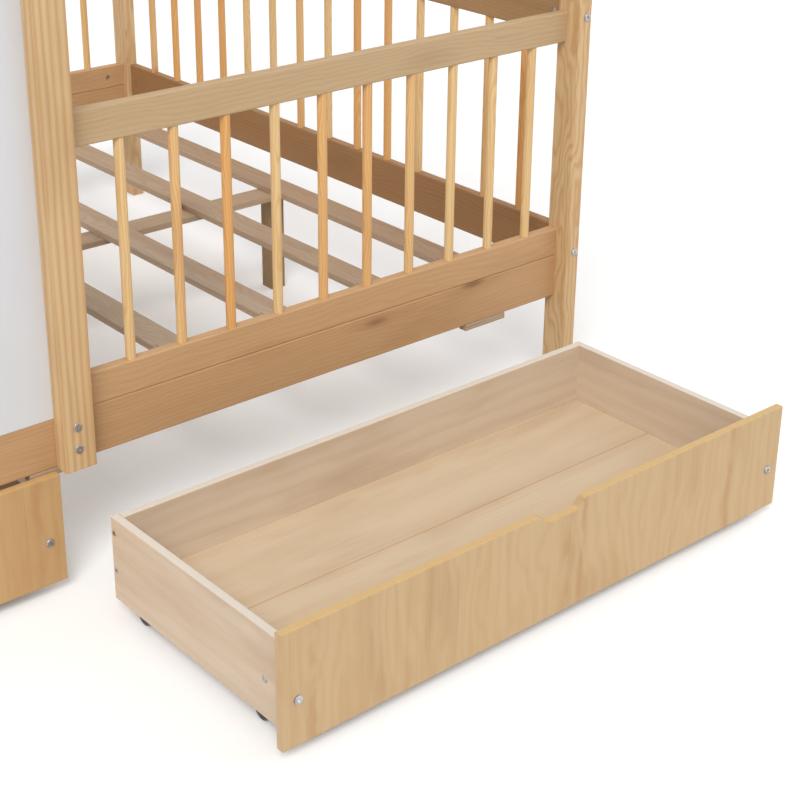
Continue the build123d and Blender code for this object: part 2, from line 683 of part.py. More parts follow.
def drawer(name, x, y):
    """Every node of one drawer."""
    fasteners, holes = drawer_fasteners(x, y)
    groove = drawer_floor_space(x, y, GROOVE_CLEAR)
    cut = with_boxes(holes + [groove])
    nodes = {
        f"{name}_front": drilled(drawer_front(x, y), cut),
        f"{name}_sides": [drilled(wall, cut) for wall in drawer_sides(x, y)],
        f"{name}_back": drilled(drawer_back(x, y), cut),
        f"{name}_floor": drawer_floor_space(x, y, 0),
        f"{name}_caster_battens": caster_battens(x, y),
        f"{name}_fasteners": fasteners,
    }
    forks = []
    for side_name, cx in zip(("left", "right"), caster_middles(x)):
        for row_name, cy in zip(("front", "back"), caster_rows(y)):
            forks.append(caster_fork(cx, cy))
            nodes[f"{name}_wheel_{row_name}_{side_name}"] = caster_wheel(cx, cy)
    nodes[f"{name}_caster_forks"] = forks
    return nodes


def frame_nodes():
    """Every node of the bed frame."""
    bolts, nuts, bolt_holes = frame_bolts()
    screws, screw_holes = wood_screws()
    dowels, dowel_holes = wood_dowels()
    fences = {
        "front": (front_spindle_places(), FENCE_CLEAR),
        "back": (back_spindle_places(), FENCE_CLEAR),
        "right": (end_spindle_places(1), END_FENCE_CLEAR),
        "left": (end_spindle_places(-1), END_FENCE_CLEAR),
    }
    holes = bolt_holes + screw_holes + dowel_holes
    for places, clear_height in fences.values():
        holes += sockets(places, clear_height)
    cutters = with_boxes(holes)

    foot_z = (SIDE_RAIL_TOP, FENCE_FOOT_TOP)
    top_z = (FENCE_TOP_BOTTOM, FENCE_TOP)
    wood = {
        "mid_post_right": mid_post(MID_POST_RIGHT_X),
        "mid_post_left": mid_post(MID_POST_LEFT_X),
        "side_rail_front": long_board(FRONT_BOARD_Y, (SIDE_RAIL_BOTTOM, SIDE_RAIL_TOP)),
        "side_rail_back": long_board(BACK_BOARD_Y, (SIDE_RAIL_BOTTOM, SIDE_RAIL_TOP)),
        "fence_bottom_rail_front": long_board(FRONT_BOARD_Y, foot_z, left=MID_POST_RIGHT_X),
        "fence_bottom_rail_back": long_board(BACK_BOARD_Y, foot_z),
        "fence_top_rail_front": long_board(FRONT_BOARD_Y, top_z, left=MID_POST_RIGHT_X),
        "fence_top_rail_back": long_board(BACK_BOARD_Y, top_z),
        "centre_beam": centre_beam(),
        "writing_board": writing_board(),
        "writing_board_top_rail": long_board(
            FRONT_BOARD_Y, BOARD_RAIL_Z, left=MID_POST_LEFT_X, right=MID_POST_RIGHT_X),
        "ridge_beam": ridge_beam(),
    }
    for name, side in SIDES.items():
        wood[f"corner_post_front_{name}"] = corner_post(side, FRONT_POST_Y)
        wood[f"corner_post_back_{name}"] = corner_post(side, BACK_POST_Y)
        wood[f"end_board_{name}"] = end_board(side, END_BOARD_Z)
        wood[f"end_top_rail_{name}"] = end_board(side, END_TOP_Z)
        wood[f"rafter_front_{name}"] = rafter(side, FRONT_POST_Y[0], 1)
        wood[f"rafter_back_{name}"] = rafter(side, BACK_POST_Y[1], -1)
    nodes = {name: drilled(piece, cutters) for name, piece in wood.items()}

    groups = {
        "eaves_beams": [long_board(FRONT_BOARD_Y, EAVES_Z), long_board(BACK_BOARD_Y, EAVES_Z)],
        "gable_ties": [end_board(side, EAVES_Z, POST_IN_X) for side in SIDES.values()],
        "slat_ledgers": [ledger(FRONT_IN_Y, 1), ledger(BACK_IN_Y, -1)],
        "slats": slats(),
        "centre_legs": centre_legs(),
        "drawer_stops": drawer_stops(),
    }
    for name, pieces in groups.items():
        nodes[name] = [drilled(piece, cutters) for piece in pieces]
    for name, (places, clear_height) in fences.items():
        nodes[f"spindles_{name}"] = spindles(places, clear_height)
    nodes["frame_bolts"] = bolts
    nodes["frame_barrel_nuts"] = nuts
    nodes["frame_screws"] = screws
    nodes["frame_dowels"] = dowels
    return nodes


def main():
    """Build every node and write it to its own file."""
    os.makedirs("parts", exist_ok=True)
    nodes = frame_nodes()
    nodes.update(drawer("drawer_right", DRAWER_RIGHT_X, CLOSED_BACK_Y - PULLED_OUT))
    nodes.update(drawer("drawer_left", DRAWER_LEFT_X, CLOSED_BACK_Y))
    for name, piece in nodes.items():
        shape = Compound(children=piece) if isinstance(piece, list) else piece
        export_step(shape, f"parts/{name}.step")
    print(len(nodes), "nodes written")


main()
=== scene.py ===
import json
import logging
import math
from dataclasses import dataclass, field
from enum import Enum

import bmesh
import bpy
from mathutils import Matrix, Vector

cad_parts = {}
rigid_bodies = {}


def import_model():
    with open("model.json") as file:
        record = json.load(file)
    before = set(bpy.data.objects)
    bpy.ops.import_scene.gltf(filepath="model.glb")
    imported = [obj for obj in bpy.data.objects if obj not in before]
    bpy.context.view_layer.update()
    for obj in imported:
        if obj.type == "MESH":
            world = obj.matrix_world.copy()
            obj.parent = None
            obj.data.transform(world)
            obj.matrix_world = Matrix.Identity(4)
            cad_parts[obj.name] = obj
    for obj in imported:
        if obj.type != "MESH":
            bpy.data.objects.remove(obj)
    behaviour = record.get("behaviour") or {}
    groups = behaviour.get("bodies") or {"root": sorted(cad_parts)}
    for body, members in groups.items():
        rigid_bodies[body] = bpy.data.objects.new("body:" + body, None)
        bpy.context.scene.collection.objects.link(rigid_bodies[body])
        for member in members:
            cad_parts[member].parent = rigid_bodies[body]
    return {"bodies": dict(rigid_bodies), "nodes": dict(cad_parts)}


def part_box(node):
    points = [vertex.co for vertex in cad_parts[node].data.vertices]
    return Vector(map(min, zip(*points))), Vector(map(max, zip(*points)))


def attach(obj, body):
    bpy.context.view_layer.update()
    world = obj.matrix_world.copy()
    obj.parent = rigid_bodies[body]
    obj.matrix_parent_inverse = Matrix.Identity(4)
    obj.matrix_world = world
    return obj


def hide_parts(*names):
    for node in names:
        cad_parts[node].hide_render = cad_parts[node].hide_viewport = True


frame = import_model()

LOG = logging.getLogger("house_bed")
MM = 0.001

Colour = tuple[float, float, float, float]


SRGB_KNEE = 0.04045
SRGB_LOW_SLOPE = 12.92
SRGB_OFFSET = 0.055
SRGB_POWER = 2.4


def srgb(red: int, green: int, blue: int) -> Colour:
    """Turns a colour of 0 to 255 per channel into linear light.

    Args:
        red: Red, as a screen shows it.
        green: Green, as a screen shows it.
        blue: Blue, as a screen shows it.

    Returns:
        The linear colour with an alpha of 1.
    """
    linear = []
    for channel in (red, green, blue):
        share = channel / 255.0
        low = share / SRGB_LOW_SLOPE
        high = ((share + SRGB_OFFSET) / (1.0 + SRGB_OFFSET)) ** SRGB_POWER
        linear.append(low if share <= SRGB_KNEE else high)
    return (linear[0], linear[1], linear[2], 1.0)


class Grain(Enum):
    """Which way the fibres of a board run."""

    ALONG_BED = "x"
    ACROSS_BED = "y"
    UPRIGHT = "z"
    FRONT_RAFTER = "front slope"
    BACK_RAFTER = "back slope"

    def turn(self, slope: float) -> tuple[float, float, float]:
        """Gives the turn that brings the fibres onto the X axis.

        Args:
            slope: The roof's slope in radians.

        Returns:
            Euler angles for a Mapping node.
        """
        quarter = math.pi / 2
        turns = {
            Grain.ALONG_BED: (0.0, 0.0, 0.0),
            Grain.ACROSS_BED: (0.0, 0.0, -quarter),
            Grain.UPRIGHT: (0.0, quarter, 0.0),
            Grain.FRONT_RAFTER: (-slope, 0.0, -quarter),
            Grain.BACK_RAFTER: (slope, 0.0, -quarter),
        }
        return turns[self]


class Graph:
    """A short way to add and join the nodes of one node tree."""

    def __init__(self, tree: bpy.types.NodeTree) -> None:
        """Keeps the tree that the nodes go into.

        Args:
            tree: The node tree.
        """
        self.tree = tree

    def add(self, kind: str, **settings: object) -> bpy.types.Node:
        """Adds a node and sets its own properties.

        Args:
            kind: The node's type name.
            **settings: Properties of the node and their values.

        Returns:
            The new node.
        """
        node = self.tree.nodes.new(kind)
        for name, value in settings.items():
            setattr(node, name, value)
        return node

    def feed(self, node: bpy.types.Node, values: dict[str | int, object]) -> bpy.types.Node:
        """Joins sockets to a node's inputs or sets them.

        Args:
            node: The node whose inputs are fed.
            values: For each input, a socket to join or a value to set.

        Returns:
            The same node.
        """
        for name, value in values.items():
            if isinstance(value, bpy.types.NodeSocket):
                self.tree.links.new(value, node.inputs[name])
            else:
                node.inputs[name].default_value = value
        return node

    def math(self, operation: str, *values: object) -> bpy.types.NodeSocket:
        """Adds a Math node.

        Args:
            operation: What the node works out.
            *values: Its numbers, as sockets or values.

        Returns:
            The result.
        """
        node = self.add("ShaderNodeMath", operation=operation)
        return self.feed(node, dict(enumerate(values))).outputs[0]

    def product(self, first: object, *others: object) -> bpy.types.NodeSocket:
        """Multiplies values in turn.

        Args:
            first: The first value.
            *others: The values that it is multiplied by.

        Returns:
            The product.
        """
        result = first
        for other in others:
            result = self.math("MULTIPLY", result, other)
        return result

    def inverse(self, share: bpy.types.NodeSocket) -> bpy.types.NodeSocket:
        """Turns a share round.

        Args:
            share: A value of 0 to 1.

        Returns:
            One less the value.
        """
        return self.math("SUBTRACT", 1.0, share)

    def vector(self, operation: str, *values: object) -> bpy.types.NodeSocket:
        """Adds a Vector Math node.

        Args:
            operation: What the node works out.
            *values: Its vectors, as sockets or values.

        Returns:
            The resulting vector.
        """
        node = self.add("ShaderNodeVectorMath", operation=operation)
        return self.feed(node, dict(enumerate(values))).outputs[0]

    def axes(self, place: bpy.types.NodeSocket) -> list[bpy.types.NodeSocket]:
        """Takes a vector apart.

        Args:
            place: The vector.

        Returns:
            Its X, Y and Z.
        """
        node = self.feed(self.add("ShaderNodeSeparateXYZ"), {0: place})
        return list(node.outputs)

    def bump(self, height: bpy.types.NodeSocket, strength: float,
             distance: float) -> bpy.types.NodeSocket:
        """Turns a height into a bumped normal.

        Args:
            height: The height.
            strength: How much of the bump is used.
            distance: The height's size in metres.

        Returns:
            The normal.
        """
        node = self.add("ShaderNodeBump")
        self.feed(node, {"Strength": strength, "Distance": distance, "Height": height})
        return node.outputs[0]

    def noise(self, place: bpy.types.NodeSocket, stretch: tuple[float, float, float],
              detail: float = 3.0, roughness: float = 0.55) -> bpy.types.NodeSocket:
        """Adds noise on stretched coordinates.

        Args:
            place: The coordinates.
            stretch: How many features there are to a metre along each axis.
            detail: Octaves of noise.
            roughness: Strength of the finer octaves.

        Returns:
            The noise value, about 0 to 1.
        """
        scaled = self.vector("MULTIPLY", place, stretch)
        node = self.add("ShaderNodeTexNoise")
        self.feed(node, {"Vector": scaled, "Scale": 1.0, "Detail": detail, "Roughness": roughness})
        return node.outputs["Fac"]

    def between(self, value: bpy.types.NodeSocket, low: float, high: float) -> bpy.types.NodeSocket:
        """Maps a value onto 0 to 1, with soft ends.

        Args:
            value: The value.
            low: Where the result is 0.
            high: Where the result is 1.

        Returns:
            The mapped value.
        """
        node = self.add("ShaderNodeMapRange", interpolation_type="SMOOTHSTEP")
        self.feed(node, {"Value": value, "From Min": low, "From Max": high})
        return node.outputs["Result"]

    def mix(self, share: object, first: object, second: object,
            blend: str = "MIX") -> bpy.types.NodeSocket:
        """Mixes two colours.

        Args:
            share: How much of the second colour there is.
            first: The first colour.
            second: The second colour.
            blend: The blend type.

        Returns:
            The mixed colour.
        """
        node = self.add("ShaderNodeMix", data_type="RGBA", blend_type=blend)
        self.feed(node, {0: share, 6: first, 7: second})
        return node.outputs[2]


def start_material(name: str) -> tuple[bpy.types.Material, Graph, bpy.types.Node]:
    """Starts a material with nodes.

    Args:
        name: The material's name.

    Returns:
        The material, its nodes and its Principled shader.
    """
    made = bpy.data.materials.new(name)
    made.use_nodes = True
    graph = Graph(made.node_tree)
    return made, graph, made.node_tree.nodes["Principled BSDF"]


def object_place(graph: Graph) -> bpy.types.NodeSocket:
    """Gives a material the bed's own coordinates.

    Args:
        graph: The material's nodes.

    Returns:
        The coordinates.
    """
    return graph.add("ShaderNodeTexCoord").outputs["Object"]


def camera_share(graph: Graph) -> bpy.types.NodeSocket:
    """Tells rays that end in the picture from rays that only carry light.

    Args:
        graph: The nodes that use the answer.

    Returns:
        1 for camera, glossy and transmission rays, and 0 for the rest.
    """
    path = graph.add("ShaderNodeLightPath").outputs
    seen = graph.math("MAXIMUM", path["Is Camera Ray"], path["Is Glossy Ray"])
    return graph.math("MAXIMUM", seen, path["Is Transmission Ray"])


class TimberGroup:
    """The shader node group for planed pine that every timber finish uses.

    The triples say how many features there are to a metre along the fibres and across them.
    """

    NAME = "planed_pine"
    TONES = ("Pale", "Warm", "Dark")
    AMOUNTS = ("Rings", "Ring Strength", "Knots", "Stain", "Offset", "Sway")
    OFFSET_SHARES = (1.0, 0.37, 0.61)
    SLOW = (3.2, 11.0, 11.0)
    FIBRES = (4.0, 420.0, 420.0)
    BANDS = (0.9, 42.0, 42.0)
    PORES = (60.0, 1900.0, 1900.0)
    KNOT_CELLS = (4.5, 15.0, 15.0)
    RING_STRETCH = (0.12, 1.0, 1.0)
    SWAY_DIRECTION = (0.0, 1.0, 0.7)
    RING_DISTORTION = 2.2
    RING_CONTRAST = 1.6
    KNOT_LUCK = 0.8
    KNOT_CORE = (0.03, 0.16)
    KNOT_HALO = (0.05, 0.42)
    KNOT_TONE = (92, 52, 24)

    @classmethod
    def get(cls) -> bpy.types.NodeTree:
        """Gives the group, which is built at its first use.

        Returns:
            The node group, whose fibres run along the X of its Vector input.
        """
        return bpy.data.node_groups.get(cls.NAME) or cls.build()

    @classmethod
    def build(cls) -> bpy.types.NodeTree:
        """Builds growth rings, fibres, slow stains, pores and knots.

        Returns:
            The new node group.
        """
        group = bpy.data.node_groups.new(cls.NAME, "ShaderNodeTree")
        cls.sockets(group)
        graph = Graph(group)
        given = graph.add("NodeGroupInput").outputs
        result = graph.add("NodeGroupOutput")

        place = cls.moved_place(graph, given)
        slow = graph.noise(place, cls.SLOW, 3.0)
        rings = cls.growth_rings(graph, given, place, slow)
        fibres = graph.noise(place, cls.FIBRES, 4.0, 0.6)
        bands = graph.noise(place, cls.BANDS, 3.0, 0.5)
        pores = graph.noise(place, cls.PORES, 1.0)
        knot, halo = cls.knots(graph, given, place)

        dark = given["Dark"]
        strength = graph.product(rings, given["Ring Strength"])
        tone = graph.mix(strength, given["Pale"], given["Warm"])
        tone = graph.mix(graph.product(graph.between(bands, 0.45, 0.75), 0.35), tone, given["Warm"])
        tone = graph.mix(graph.product(graph.between(fibres, 0.52, 0.8), 0.28), tone, dark)
        tone = graph.mix(graph.product(graph.between(slow, 0.5, 0.78), given["Stain"]), tone, dark)
        tone = graph.mix(graph.product(halo, 0.35), tone, dark)
        tone = graph.mix(knot, tone, graph.mix(0.55, dark, srgb(*cls.KNOT_TONE)))
        tone = graph.mix(graph.product(graph.between(pores, 0.62, 0.8), 0.1), tone, dark)

        rough = graph.math("ADD", 0.46, graph.product(fibres, 0.2))
        high = graph.math("ADD", graph.product(rings, 0.35), graph.product(fibres, 0.5))
        high = graph.math("SUBTRACT", high, graph.product(knot, 0.4))
        graph.feed(result, {"Color": tone, "Roughness": rough, "Height": high})
        return group

    @classmethod
    def sockets(cls, group: bpy.types.NodeTree) -> None:
        """Gives the group its inputs and outputs.

        Args:
            group: The node group.
        """
        face = group.interface
        face.new_socket("Vector", in_out="INPUT", socket_type="NodeSocketVector")
        for name in cls.TONES:
            face.new_socket(name, in_out="INPUT", socket_type="NodeSocketColor")
        for name in cls.AMOUNTS:
            face.new_socket(name, in_out="INPUT", socket_type="NodeSocketFloat")
        face.new_socket("Color", in_out="OUTPUT", socket_type="NodeSocketColor")
        for name in ("Roughness", "Height"):
            face.new_socket(name, in_out="OUTPUT", socket_type="NodeSocketFloat")

    @classmethod
    def moved_place(cls, graph: Graph,
                    given: bpy.types.NodeOutputs) -> bpy.types.NodeSocket:
        """Moves the figure by the offset, so that no two finishes are alike.

        Args:
            graph: The group's nodes.
            given: The group's inputs.

        Returns:
            The moved coordinates.
        """
        apart = graph.add("ShaderNodeCombineXYZ")
        shares = [graph.product(given["Offset"], share) for share in cls.OFFSET_SHARES]
        graph.feed(apart, dict(enumerate(shares)))
        return graph.vector("ADD", given["Vector"], apart.outputs[0])

    @classmethod
    def growth_rings(cls, graph: Graph, given: bpy.types.NodeOutputs,
                     place: bpy.types.NodeSocket,
                     slow: bpy.types.NodeSocket) -> bpy.types.NodeSocket:
        """Builds the growth rings, bent by slow noise.

        Args:
            graph: The group's nodes.
            given: The group's inputs.
            place: The coordinates.
            slow: The slow noise.

        Returns:
            The rings, 0 for spring wood and 1 for summer wood.
        """
        sway = graph.vector("SCALE", cls.SWAY_DIRECTION)
        shift = graph.product(graph.math("SUBTRACT", slow, 0.5), given["Sway"])
        graph.feed(sway.node, {"Scale": shift})
        bent = graph.vector("ADD", graph.vector("MULTIPLY", place, cls.RING_STRETCH), sway)
        wave = graph.add("ShaderNodeTexWave", wave_type="RINGS", rings_direction="X")
        graph.feed(wave, {"Vector": bent, "Scale": given["Rings"], "Detail": 2.0,
                          "Distortion": cls.RING_DISTORTION, "Detail Scale": 0.6})
        return graph.math("POWER", wave.outputs["Fac"], cls.RING_CONTRAST)

    @classmethod
    def knots(cls, graph: Graph, given: bpy.types.NodeOutputs, place: bpy.types.NodeSocket
              ) -> tuple[bpy.types.NodeSocket, bpy.types.NodeSocket]:
        """Puts a knot into some of the cells of a stretched cell pattern.

        Args:
            graph: The group's nodes.
            given: The group's inputs.
            place: The coordinates.

        Returns:
            The knot's core and the darker wood round it.
        """
        cells = graph.add("ShaderNodeTexVoronoi", feature="F1")
        graph.feed(cells, {"Vector": graph.vector("MULTIPLY", place, cls.KNOT_CELLS), "Scale": 1.0})
        luck = graph.add("ShaderNodeSeparateColor")
        graph.feed(luck, {0: cells.outputs["Color"]})
        chosen = graph.math("GREATER_THAN", luck.outputs[0], cls.KNOT_LUCK)
        away = cells.outputs["Distance"]
        parts = [graph.product(graph.inverse(graph.between(away, *reach)), chosen, given["Knots"])
                 for reach in (cls.KNOT_CORE, cls.KNOT_HALO)]
        return parts[0], parts[1]


@dataclass(frozen=True)
class Timber:
    """One wood finish.

    Attributes:
        name: The finish's name, to which the way of the fibres is added.
        pale: The spring wood's colour.
        warm: The summer wood's colour.
        dark: The colour of stains, pores and the wood round knots.
        rings: How close the growth rings are.
        ring_strength: How strongly they show.
        knots: How strongly knots show.
        stain: How strongly slow stains show.
        offset: Moves the figure.
        board_pitch: The distance between the boards of a row, or 0 for one board.
        board_axis: The axis that the row runs along, 0 for X and 1 for Y.
        board_start: Half a pitch before the first board.
        odd_board: The tone that some boards of a row are multiplied by.
        painted_top_light: The lighter colour painted on faces that look up, a painted highlight of
            the light from above.
        bands: The middle and half width of each dark band, along X.
        band_tone: The colour of bands and seams.
        seams: The places of thin glue lines, along Y.
        sway: How far the rings are bent, in metres.
        gloss: The varnish's weight.
    """

    name: str
    pale: Colour
    warm: Colour
    dark: Colour
    rings: float = 26.0
    ring_strength: float = 0.7
    knots: float = 0.8
    stain: float = 0.25
    offset: float = 0.0
    board_pitch: float = 0.0
    board_axis: int = 0
    board_start: float = 0.0
    odd_board: Colour | None = None
    painted_top_light: Colour | None = None
    bands: tuple[tuple[float, float], ...] = ()
    band_tone: Colour = field(default_factory=lambda: srgb(168, 120, 74))
    seams: tuple[float, ...] = ()
    sway: float = 0.055
    gloss: float = 0.0

    BOARD_STEP = 3.7
    BOARD_SEED = 0.37

    def material(self, grain: Grain, slope: float = 0.0) -> bpy.types.Material:
        """Builds the finish for one way of the fibres, or finds it.

        Args:
            grain: Which way the fibres run.
            slope: The roof's slope in radians, for the rafters.

        Returns:
            The material.
        """
        name = f"{self.name}_{grain.name.lower()}"
        found = bpy.data.materials.get(name)
        if found:
            return found
        made, graph, shader = start_material(name)
        where = object_place(graph)
        turned = graph.add("ShaderNodeMapping")
        graph.feed(turned, {"Vector": where, "Rotation": grain.turn(slope)})
        pine = graph.add("ShaderNodeGroup", node_tree=TimberGroup.get())
        board = self.board_number(graph, where)
        offset = graph.math("ADD", graph.product(board, self.BOARD_STEP), self.offset)
        graph.feed(pine, {"Vector": turned.outputs[0], "Pale": self.pale, "Warm": self.warm,
                          "Dark": self.dark, "Rings": self.rings, "Knots": self.knots,
                          "Ring Strength": self.ring_strength, "Stain": self.stain,
                          "Sway": self.sway, "Offset": offset})
        colour = self.odd_boards(graph, pine.outputs["Color"], board)
        colour = self.dark_bands(graph, colour, where)
        colour = self.dark_seams(graph, colour, where)
        colour = self.paint_top_light(graph, colour)
        normal = graph.bump(pine.outputs["Height"], 0.35, 0.6 * MM)
        graph.feed(shader, {"Base Color": colour, "Roughness": pine.outputs["Roughness"],
                            "Normal": normal, "Coat Weight": self.gloss,
                            "Coat Roughness": 0.35, "Specular IOR Level": 0.35})
        return made

    def board_number(self, graph: Graph, where: bpy.types.NodeSocket) -> bpy.types.NodeSocket:
        """Gives every board of a row its own random number from 0 to 1.

        Args:
            graph: The material's nodes.
            where: The coordinates.

        Returns:
            The random number.
        """
        count: object = 0.0
        if self.board_pitch:
            along = graph.math("SUBTRACT", graph.axes(where)[self.board_axis], self.board_start)
            count = graph.math("FLOOR", graph.math("DIVIDE", along, self.board_pitch))
        luck = graph.add("ShaderNodeTexWhiteNoise", noise_dimensions="1D")
        graph.feed(luck, {"W": graph.math("ADD", count, self.BOARD_SEED + self.offset)})
        return luck.outputs["Value"]

    def odd_boards(self, graph: Graph, colour: bpy.types.NodeSocket,
                   board: bpy.types.NodeSocket) -> bpy.types.NodeSocket:
        """Makes some boards of a row darker or more orange than the rest.

        Args:
            graph: The material's nodes.
            colour: The colour so far.
            board: Each board's random number.

        Returns:
            The colour with the odd boards.
        """
        if self.odd_board is None:
            return colour
        share = graph.product(graph.between(board, 0.25, 0.95), 0.75)
        return graph.mix(share, colour, graph.mix(1.0, colour, self.odd_board, "MULTIPLY"))

    def dark_bands(self, graph: Graph, colour: bpy.types.NodeSocket,
                   where: bpy.types.NodeSocket) -> bpy.types.NodeSocket:
        """Adds bands of dark summer wood across a glued-up panel.

        Args:
            graph: The material's nodes.
            colour: The colour so far.
            where: The coordinates.

        Returns:
            The colour with the bands.
        """
        if not self.bands:
            return colour
        reach = 30.0 * MM
        sway = graph.product(graph.noise(where, (9.0, 1.0, 14.0), 3.0), reach)
        patchy = graph.between(graph.noise(where, (30.0, 1.0, 16.0), 3.0), 0.3, 0.6)
        swayed = graph.math("ADD", graph.axes(where)[0], sway)
        for middle, half in self.bands:
            off = graph.math("ABSOLUTE", graph.math("SUBTRACT", swayed, middle + reach / 2))
            share = graph.product(graph.inverse(graph.between(off, 0.0, half)), patchy, 0.42)
            colour = graph.mix(share, colour, self.band_tone)
        return colour

    def dark_seams(self, graph: Graph, colour: bpy.types.NodeSocket,
                   where: bpy.types.NodeSocket) -> bpy.types.NodeSocket:
        """Draws the thin glue lines between the boards of a panel, at set places along Y.

        Args:
            graph: The material's nodes.
            colour: The colour so far.
            where: The coordinates.

        Returns:
            The colour with the seams.
        """
        if not self.seams:
            return colour
        reach = 4.0 * MM
        sway = graph.product(graph.noise(where, (3.0, 1.0, 1.0), 2.0), reach)
        swayed = graph.math("ADD", graph.axes(where)[1], sway)
        for middle in self.seams:
            off = graph.math("ABSOLUTE", graph.math("SUBTRACT", swayed, middle + reach / 2))
            share = graph.product(graph.inverse(graph.between(off, 0.4 * MM, 1.6 * MM)), 0.55)
            colour = graph.mix(share, colour, self.band_tone)
        return colour

    def paint_top_light(self, graph: Graph, colour: bpy.types.NodeSocket) -> bpy.types.NodeSocket:
        """Paints faces that look up lighter, a painted highlight of the light from above.

        Args:
            graph: The material's nodes.
            colour: The colour so far.

        Returns:
            The colour with the sawn edges.
        """
        if self.painted_top_light is None:
            return colour
        upward = graph.axes(graph.add("ShaderNodeNewGeometry").outputs["Normal"])[2]
        # Painted highlight: the lighter tone goes onto faces whose normal points up.
        share = graph.product(graph.between(upward, 0.75, 0.95), 0.75)
        return graph.mix(share, colour, self.painted_top_light)


@dataclass(frozen=True)
class Steel:
    """Zinc-plated steel of the bolts, screws and caster forks.

    Attributes:
        name: The finish's name.
        tone: The bare plating's colour.
        roughness: Its smoothest roughness.
        bloom: How many dull patches there are to a metre.
        scratches: How many scratches there are to a metre along each axis.
    """

    name: str
    tone: Colour
    roughness: float
    bloom: float = 90.0
    scratches: tuple[float, float, float] = (900.0, 150.0, 2400.0)

    def material(self) -> bpy.types.Material:
        """Builds the finish, with fine scratches and a dull bloom, or finds it.

        Returns:
            The material.
        """
        found = bpy.data.materials.get(self.name)
        if found:
            return found
        made, graph, shader = start_material(self.name)
        where = object_place(graph)
        bloom = graph.noise(where, (self.bloom,) * 3, 3.0)
        scratches = graph.noise(where, self.scratches, 2.0)
        tone = graph.mix(graph.between(bloom, 0.35, 0.7), self.tone, srgb(150, 148, 146))
        rough = graph.math("ADD", self.roughness, graph.product(bloom, 0.22))
        graph.feed(shader, {"Base Color": tone, "Roughness": rough, "Metallic": 1.0,
                            "Normal": graph.bump(scratches, 0.2, 0.1 * MM)})
        return made


@dataclass(frozen=True)
class Moulded:
    """Moulded plastic of the wheels, or the laminate of the writing board.

    Attributes:
        name: The finish's name.
        tone: The clean colour.
        worn: The colour of the mottled patches.
        roughness: Its smoothest roughness.
        texture: How many bumps of its skin there are to a metre.
        coat: The weight of its gloss coat.
    """

    name: str
    tone: Colour
    worn: Colour
    roughness: float
    texture: float
    coat: float = 0.0

    def material(self) -> bpy.types.Material:
        """Builds the finish, with a faint mottle, smudges and a moulded skin, or finds it.

        Returns:
            The material.
        """
        found = bpy.data.materials.get(self.name)
        if found:
            return found
        made, graph, shader = start_material(self.name)
        where = object_place(graph)
        mottle = graph.noise(where, (3.0, 3.0, 2.0), 4.0)
        smudge = graph.noise(where, (14.0, 14.0, 5.0), 3.0)
        skin = graph.noise(where, (self.texture,) * 3, 2.0)
        tone = graph.mix(graph.between(mottle, 0.3, 0.75), self.tone, self.worn)
        rough = graph.math("ADD", self.roughness, graph.product(smudge, 0.18))
        graph.feed(shader, {"Base Color": tone, "Roughness": rough,
                            "Normal": graph.bump(skin, 0.15, 0.2 * MM),
                            "Coat Weight": self.coat, "Coat Roughness": 0.12})
        return made


POST_PINE = Timber("post_pine", srgb(208, 177, 134), srgb(189, 147, 98), srgb(150, 106, 66),
                   rings=34.0, ring_strength=0.75, knots=0.5, stain=0.3, offset=0.4, sway=0.1)
RAIL_PINE = Timber("rail_pine", srgb(190, 151, 109), srgb(178, 135, 92), srgb(138, 96, 62),
                   rings=46.0, ring_strength=0.35, stain=0.3, knots=0.7, offset=1.9)
SEAM_RAIL_PINE = Timber("seam_rail_pine", srgb(194, 156, 114), srgb(182, 139, 95),
                        srgb(142, 100, 64), rings=40.0, ring_strength=0.35, offset=14.2)
TOP_RAIL_PINE = Timber("top_rail_pine", srgb(188, 161, 124), srgb(174, 142, 102),
                       srgb(140, 104, 70), rings=46.0, ring_strength=0.35, offset=5.2)
END_PINE = Timber("end_pine", srgb(160, 120, 80), srgb(146, 104, 64), srgb(112, 76, 46),
                  rings=50.0, ring_strength=0.45, stain=0.35, offset=8.3)
END_TOP_PINE = Timber("end_top_pine", srgb(168, 132, 92), srgb(154, 114, 74),
                      srgb(118, 82, 52), rings=50.0, ring_strength=0.45, offset=3.1)
SLAT_PINE = Timber("slat_pine", srgb(190, 168, 144), srgb(174, 148, 122), srgb(130, 104, 82),
                   rings=62.0, ring_strength=0.45, knots=0.8, stain=0.3, offset=6.6,
                   board_pitch=0.2045, board_axis=0, board_start=-1.12,
                   odd_board=srgb(236, 224, 214))
BEAM_PINE = Timber("beam_pine", srgb(182, 158, 132), srgb(166, 136, 106), srgb(124, 96, 72),
                   rings=58.0, ring_strength=0.45, offset=2.7)
LEG_PINE = Timber("leg_pine", srgb(158, 130, 94), srgb(140, 108, 70), srgb(104, 78, 50),
                  rings=62.0, ring_strength=0.6, offset=4.4)
RIGHT_FRONT_PINE = Timber("right_front_pine", srgb(194, 165, 125), srgb(183, 147, 103),
                           srgb(154, 113, 72), rings=13.0, ring_strength=0.3, knots=0.1,
                           stain=0.35, offset=7.1, gloss=0.06, sway=0.16,
                           bands=((0.044, 0.013), (0.484, 0.016), (0.515, 0.009),
                                  (0.83, 0.011)),
                           # Painted highlight: the front's faces that look up are made lighter, as
                           # if lit from above.
                           painted_top_light=srgb(212, 178, 120))
LEFT_FRONT_PINE = Timber("left_front_pine", srgb(193, 156, 108), srgb(181, 139, 89),
                         srgb(150, 106, 62), rings=13.0, ring_strength=0.3, knots=0.1,
                         stain=0.35, offset=17.3, gloss=0.06, sway=0.16,
                         bands=((-0.045, 0.012), (-0.31, 0.014), (-0.72, 0.012)),
                         # Painted highlight: the front's faces that look up are made lighter, as if
                         # lit from above.
                         painted_top_light=srgb(206, 168, 110))
